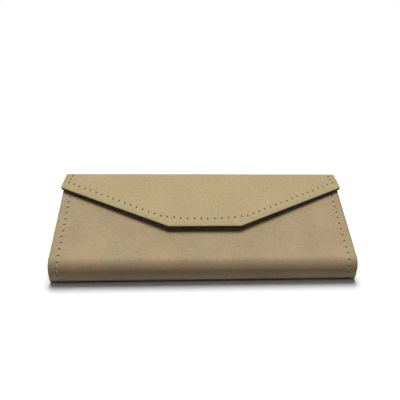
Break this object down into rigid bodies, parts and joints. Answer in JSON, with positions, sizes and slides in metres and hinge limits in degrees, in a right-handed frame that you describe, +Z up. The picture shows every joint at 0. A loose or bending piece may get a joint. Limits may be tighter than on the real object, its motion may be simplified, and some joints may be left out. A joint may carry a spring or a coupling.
{
  "type": "glasses case",
  "caption": "Fold-flat wedge-shaped glasses case: leather-covered boards, rounded spine, inward-folding end gussets and an envelope flap that closes over the sloping front.",
  "frame": {"origin": "middle of the footprint, on the surface the case stands on", "axes": "+X along the case, +Y from the rounded spine to the back hinge, +Z up"},
  "size_m": [0.166, 0.0692, 0.0426],
  "materials": {
    "cover_leather": "brushed nubuck finish",
    "hinge_leather": "brushed nubuck finish, bent",
    "gusset_leather": "thin soft leather",
    "greyboard": "dense grey board",
    "lining_fabric": "short-nap microfibre",
    "thread": "twisted sewing thread",
    "magnet": "nickel-plated disc"
  },
  "bodies": {
    "base": {"base_cover": "cover_leather", "base_board": "greyboard", "base_lining": "lining_fabric", "base_stitching": "thread", "fold_cover": "hinge_leather", "fold_lining": "lining_fabric", "fold_stitching": "thread", "back_hinge_strip": "hinge_leather"},
    "front_panel": {"front_cover": "cover_leather", "front_board": "greyboard", "front_lining": "lining_fabric", "front_magnets": "magnet", "front_stitching": "thread"},
    "lid": {"back_cover": "cover_leather", "back_board": "greyboard", "back_lining": "lining_fabric", "back_stitching": "thread", "ridge_strip": "hinge_leather"},
    "flap": {"flap_cover": "cover_leather", "flap_board": "greyboard", "flap_lining": "lining_fabric", "flap_magnets": "magnet", "flap_stitching": "thread"},
    "gusset_left_lower": {"gusset_left_lower": "gusset_leather"},
    "gusset_left_upper": {"gusset_left_upper": "gusset_leather"},
    "gusset_right_lower": {"gusset_right_lower": "gusset_leather"},
    "gusset_right_upper": {"gusset_right_upper": "gusset_leather"}
  },
  "joints": [
    {"name": "front_fold", "type": "hinge", "parent": "base", "child": "front_panel", "pos_m": [0, -0.0274, 0.0069], "axis": [1, 0, 0], "range_deg": [-30, 0]},
    {"name": "lid_hinge", "type": "hinge", "parent": "base", "child": "lid", "pos_m": [0, 0.0349, 0.0005], "axis": [1, 0, 0], "range_deg": [-115, 0]},
    {"name": "flap_hinge", "type": "hinge", "parent": "lid", "child": "flap", "pos_m": [0, 0.01529, 0.04255], "axis": [1, 0, 0], "range_deg": [-92.4, 0]},
    {"name": "gusset_left_lower_fold", "type": "hinge", "parent": "base", "child": "gusset_left_lower", "pos_m": [-0.08, -0.0274, 0.0037], "axis": [0, 1, 0], "range_deg": [0, 54]},
    {"name": "gusset_left_upper_fold", "type": "hinge", "parent": "front_panel", "child": "gusset_left_upper", "pos_m": [-0.08, -0.02915, 0.00993], "axis": [0, -0.866, -0.5], "range_deg": [0, 54]},
    {"name": "gusset_right_lower_fold", "type": "hinge", "parent": "base", "child": "gusset_right_lower", "pos_m": [0.08, -0.0274, 0.0037], "axis": [0, -1, 0], "range_deg": [0, 54]},
    {"name": "gusset_right_upper_fold", "type": "hinge", "parent": "front_panel", "child": "gusset_right_upper", "pos_m": [0.08, -0.02915, 0.00993], "axis": [0, 0.866, 0.5], "range_deg": [0, 54]}
  ],
  "couplings": [
    {"joint": "gusset_left_lower_fold", "follows": "front_fold", "ratio": -1.8},
    {"joint": "gusset_left_upper_fold", "follows": "front_fold", "ratio": -1.8},
    {"joint": "gusset_right_lower_fold", "follows": "front_fold", "ratio": -1.8},
    {"joint": "gusset_right_upper_fold", "follows": "front_fold", "ratio": -1.8}
  ]
}
